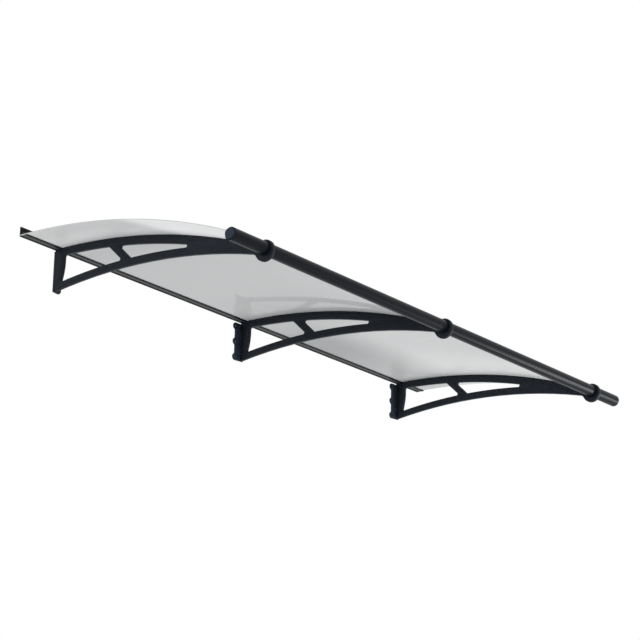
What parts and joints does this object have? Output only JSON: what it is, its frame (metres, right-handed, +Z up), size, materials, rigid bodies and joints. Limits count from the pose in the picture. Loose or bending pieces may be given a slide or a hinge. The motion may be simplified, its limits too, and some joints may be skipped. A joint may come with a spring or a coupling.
{
  "type": "door canopy",
  "caption": "Arched door canopy: a glossy grey sheet on moulded brackets with lobed wall flanges, a slotted round front bar and a wall rail.",
  "frame": {"origin": "on the wall plane, halfway along the sheet, at the height of the middle screw lobe; it lies on the flat back of the middle bracket's wall flange", "axes": "+X along the wall to the right as seen from the street, +Y into the wall, +Z up; the canopy reaches out towards -Y"},
  "size_m": [2.2266, 0.8939, 0.2307],
  "materials": {
    "sheet": "gloss",
    "bracket": "satin",
    "plug": "satin",
    "bar": "powder coated, satin",
    "rail": "powder coated, satin",
    "strip": "matte",
    "screw": "plain"
  },
  "bodies": {
    "root": {"canopy_sheet": "sheet", "bracket_left": "bracket", "bracket_middle": "bracket", "bracket_right": "bracket", "front_bar": "bar", "bar_plug_left": "plug", "bar_plug_right": "plug", "wall_rail": "rail", "bar_strip": "strip", "rail_strip": "strip", "rail_screw_left": "screw", "rail_screw_middle": "screw", "rail_screw_right": "screw", "bar_screw_left": "screw", "bar_screw_middle": "screw", "bar_screw_right": "screw"}
  },
  "joints": []
}
